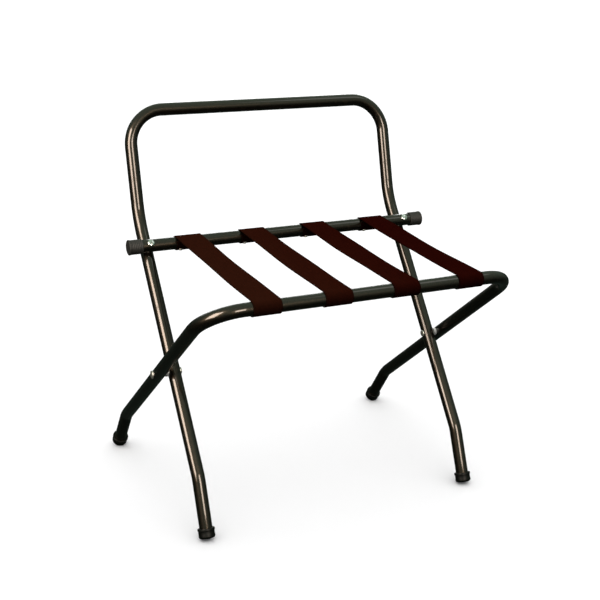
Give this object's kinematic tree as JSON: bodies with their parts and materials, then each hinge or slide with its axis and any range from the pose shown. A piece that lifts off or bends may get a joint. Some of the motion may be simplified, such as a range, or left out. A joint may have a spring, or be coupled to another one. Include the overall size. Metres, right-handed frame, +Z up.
{
  "type": "folding luggage rack",
  "caption": "Folding luggage rack: two bent steel tube frames crossed on pivot bolts, a raised back guard, and webbing straps between two rails.",
  "frame": {"origin": "on the floor, under the middle of the open rack's bounding box", "axes": "+Z up, -Y the front where the bag is lifted on, +Y the wall side with the back guard, +X to the right of a person facing the front"},
  "size_m": [0.5892, 0.4818, 0.6563],
  "materials": {
    "bronze_paint": "glossy dark bronze",
    "webbing": "woven, matt",
    "black_plastic": "ribbed, satin",
    "black_rubber": "matt",
    "white_nylon": "satin",
    "bright_metal": "bright plated",
    "rivet_metal": "satin"
  },
  "bodies": {
    "back_frame": {"back_frame_tube": "bronze_paint", "rear_rail_tube": "bronze_paint", "rail_end_cap_left": "black_plastic", "rail_saddle_left": "black_plastic", "rail_screw_left": "bright_metal", "rail_nut_left": "bright_metal", "pivot_bolt_left": "bright_metal", "pivot_spacer_left": "white_nylon", "pivot_nut_left": "bright_metal", "foot_front_left": "black_rubber", "rail_end_cap_right": "black_plastic", "rail_saddle_right": "black_plastic", "rail_screw_right": "bright_metal", "rail_nut_right": "bright_metal", "pivot_bolt_right": "bright_metal", "pivot_spacer_right": "white_nylon", "pivot_nut_right": "bright_metal", "foot_front_right": "black_rubber", "strap_1": "webbing", "strap_2": "webbing", "strap_3": "webbing", "strap_4": "webbing", "rear_rivet_1_left": "rivet_metal", "rear_rivet_1_right": "rivet_metal", "rear_rivet_2_left": "rivet_metal", "rear_rivet_2_right": "rivet_metal", "rear_rivet_3_left": "rivet_metal", "rear_rivet_3_right": "rivet_metal", "rear_rivet_4_left": "rivet_metal", "rear_rivet_4_right": "rivet_metal"},
    "seat_frame": {"seat_frame_tube": "bronze_paint", "foot_rear_left": "black_rubber", "foot_rear_right": "black_rubber", "front_rivet_1_left": "rivet_metal", "front_rivet_1_right": "rivet_metal", "front_rivet_2_left": "rivet_metal", "front_rivet_2_right": "rivet_metal", "front_rivet_3_left": "rivet_metal", "front_rivet_3_right": "rivet_metal", "front_rivet_4_left": "rivet_metal", "front_rivet_4_right": "rivet_metal"}
  },
  "joints": [
    {"name": "fold", "type": "hinge", "parent": "back_frame", "child": "seat_frame", "pos_m": [0, -0.01247, 0.2422], "axis": [-1, 0, 0], "range_deg": [0, 76], "deforming": ["strap_1", "strap_2", "strap_3", "strap_4"]}
  ]
}
